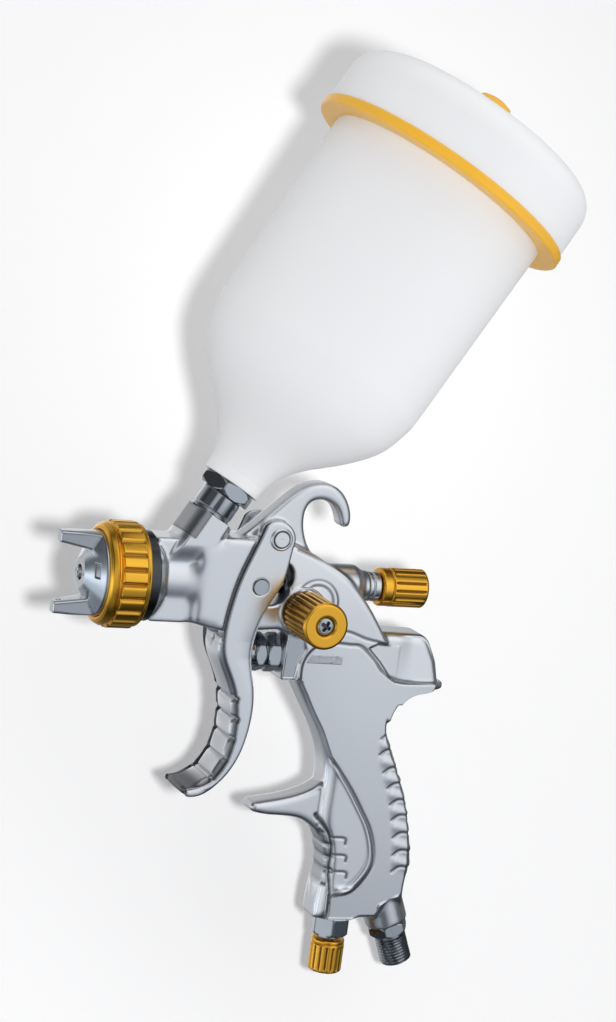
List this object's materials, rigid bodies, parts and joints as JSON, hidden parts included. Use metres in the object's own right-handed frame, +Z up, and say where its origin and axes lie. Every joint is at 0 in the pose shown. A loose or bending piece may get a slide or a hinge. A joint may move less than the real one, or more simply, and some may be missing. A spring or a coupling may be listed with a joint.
{
  "type": "gravity feed spray gun",
  "caption": "Gravity-feed HVLP paint spray gun with a leaning plastic cup, horned air cap, channel trigger, side fan knob and threaded air inlet under a curved grip.",
  "frame": {"origin": "centre of the nozzle mouth, on the needle axis", "axes": "+X runs back along the needle axis, away from the spray; +Z is up, from the handle towards the cup; the fan control stands out on the -Y side"},
  "size_m": [0.1966, 0.112, 0.3721],
  "materials": {
    "cast_silver": "satin plated casting",
    "chrome": "polished plating",
    "steel": "turned",
    "gold": "gold anodised",
    "brass": "turned",
    "cup_plastic": "translucent nylon",
    "gold_plastic": "smooth",
    "seal": "soft seal",
    "mesh": "fine mesh"
  },
  "bodies": {
    "gun": {"gun_body": "cast_silver", "head_collar": "chrome", "air_baffle": "brass", "fluid_tip": "steel", "needle_packing": "seal", "packing_nut": "chrome", "needle_spring": "steel", "fluid_control_bush": "chrome", "air_valve_gland": "chrome", "air_valve_spring": "steel", "fan_control_bush": "brass", "air_regulator_bush": "chrome", "air_inlet_nipple": "chrome", "cup_fitting": "chrome", "paint_strainer": "mesh", "trigger_pivot_pin": "chrome"},
    "trigger": {"trigger": "cast_silver", "needle_drive_pins": "chrome"},
    "needle": {"fluid_needle": "steel", "needle_sleeve": "chrome"},
    "valve_stem": {"air_valve_stem": "steel", "air_valve_poppet": "brass"},
    "air_cap": {"air_cap": "chrome"},
    "air_cap_ring": {"air_cap_ring": "gold"},
    "fluid_stem": {"fluid_stem": "steel"},
    "fluid_knob": {"fluid_knob": "gold"},
    "fan_spindle": {"fan_spindle": "steel"},
    "fan_knob": {"fan_knob": "gold", "fan_knob_screw": "chrome"},
    "regulator_spindle": {"air_regulator_spindle": "steel"},
    "regulator_knob": {"air_regulator_knob": "gold"},
    "cup": {"paint_cup": "cup_plastic", "cup_nut": "chrome", "cup_ring": "gold_plastic"},
    "lid": {"cup_lid": "cup_plastic", "lid_gasket": "seal"},
    "vent_cap": {"vent_cap": "gold_plastic"}
  },
  "joints": [
    {"name": "trigger_pull", "type": "hinge", "parent": "gun", "child": "trigger", "pos_m": [0.077, 0, 0.0193], "axis": [0, -1, 0], "range_deg": [0, 10], "stiffness_Nm_per_rad": 1.2, "springref_deg": -8.59},
    {"name": "needle_draw", "type": "slide", "parent": "gun", "child": "needle", "axis": [1, 0, 0], "range_m": [0, 0.0035]},
    {"name": "valve_push", "type": "slide", "parent": "gun", "child": "valve_stem", "axis": [1, 0, 0], "range_m": [0, 0.0086]},
    {"name": "air_cap_ring_turn", "type": "hinge", "parent": "gun", "child": "air_cap_ring", "pos_m": [0.015, 0, 0], "axis": [1, 0, 0], "continuous": true},
    {"name": "air_cap_turn", "type": "hinge", "parent": "air_cap_ring", "child": "air_cap", "pos_m": [0.01, 0, 0], "axis": [1, 0, 0], "continuous": true},
    {"name": "fluid_screw_travel", "type": "slide", "parent": "gun", "child": "fluid_stem", "axis": [1, 0, 0], "range_m": [0, 0.003]},
    {"name": "fluid_knob_turn", "type": "hinge", "parent": "fluid_stem", "child": "fluid_knob", "pos_m": [0.13, 0, 0], "axis": [1, 0, 0], "range_deg": [0, 1080]},
    {"name": "fan_screw_travel", "type": "slide", "parent": "gun", "child": "fan_spindle", "axis": [0, -1, 0], "range_m": [0, 0.001]},
    {"name": "fan_knob_turn", "type": "hinge", "parent": "fan_spindle", "child": "fan_knob", "pos_m": [0.091, -0.02, -0.0098], "axis": [0, -1, 0], "range_deg": [0, 360]},
    {"name": "regulator_screw_travel", "type": "slide", "parent": "gun", "child": "regulator_spindle", "axis": [0, 0, -1], "range_m": [0, 0.002]},
    {"name": "regulator_knob_turn", "type": "hinge", "parent": "regulator_spindle", "child": "regulator_knob", "pos_m": [0.1258, 0, -0.15], "axis": [0, 0, -1], "range_deg": [0, 720]},
    {"name": "cup_turn", "type": "hinge", "parent": "gun", "child": "cup", "pos_m": [0.0565, 0, 0.03551], "axis": [0.5, 0, 0.866], "continuous": true},
    {"name": "lid_lift", "type": "slide", "parent": "cup", "child": "lid", "axis": [0.5, 0, 0.866], "range_m": [0, 0.06]},
    {"name": "vent_cap_turn", "type": "hinge", "parent": "lid", "child": "vent_cap", "pos_m": [0.146, 0, 0.19053], "axis": [0.5, 0, 0.866], "continuous": true}
  ],
  "couplings": [
    {"joint": "needle_draw", "follows": "trigger_pull", "m_per_rad": 0.0198},
    {"joint": "valve_push", "follows": "trigger_pull", "m_per_rad": 0.0488},
    {"joint": "fluid_knob_turn", "follows": "fluid_screw_travel", "rad_per_m": 6283.2},
    {"joint": "fan_knob_turn", "follows": "fan_screw_travel", "rad_per_m": 6283.2},
    {"joint": "regulator_knob_turn", "follows": "regulator_screw_travel", "rad_per_m": 6283.2}
  ]
}
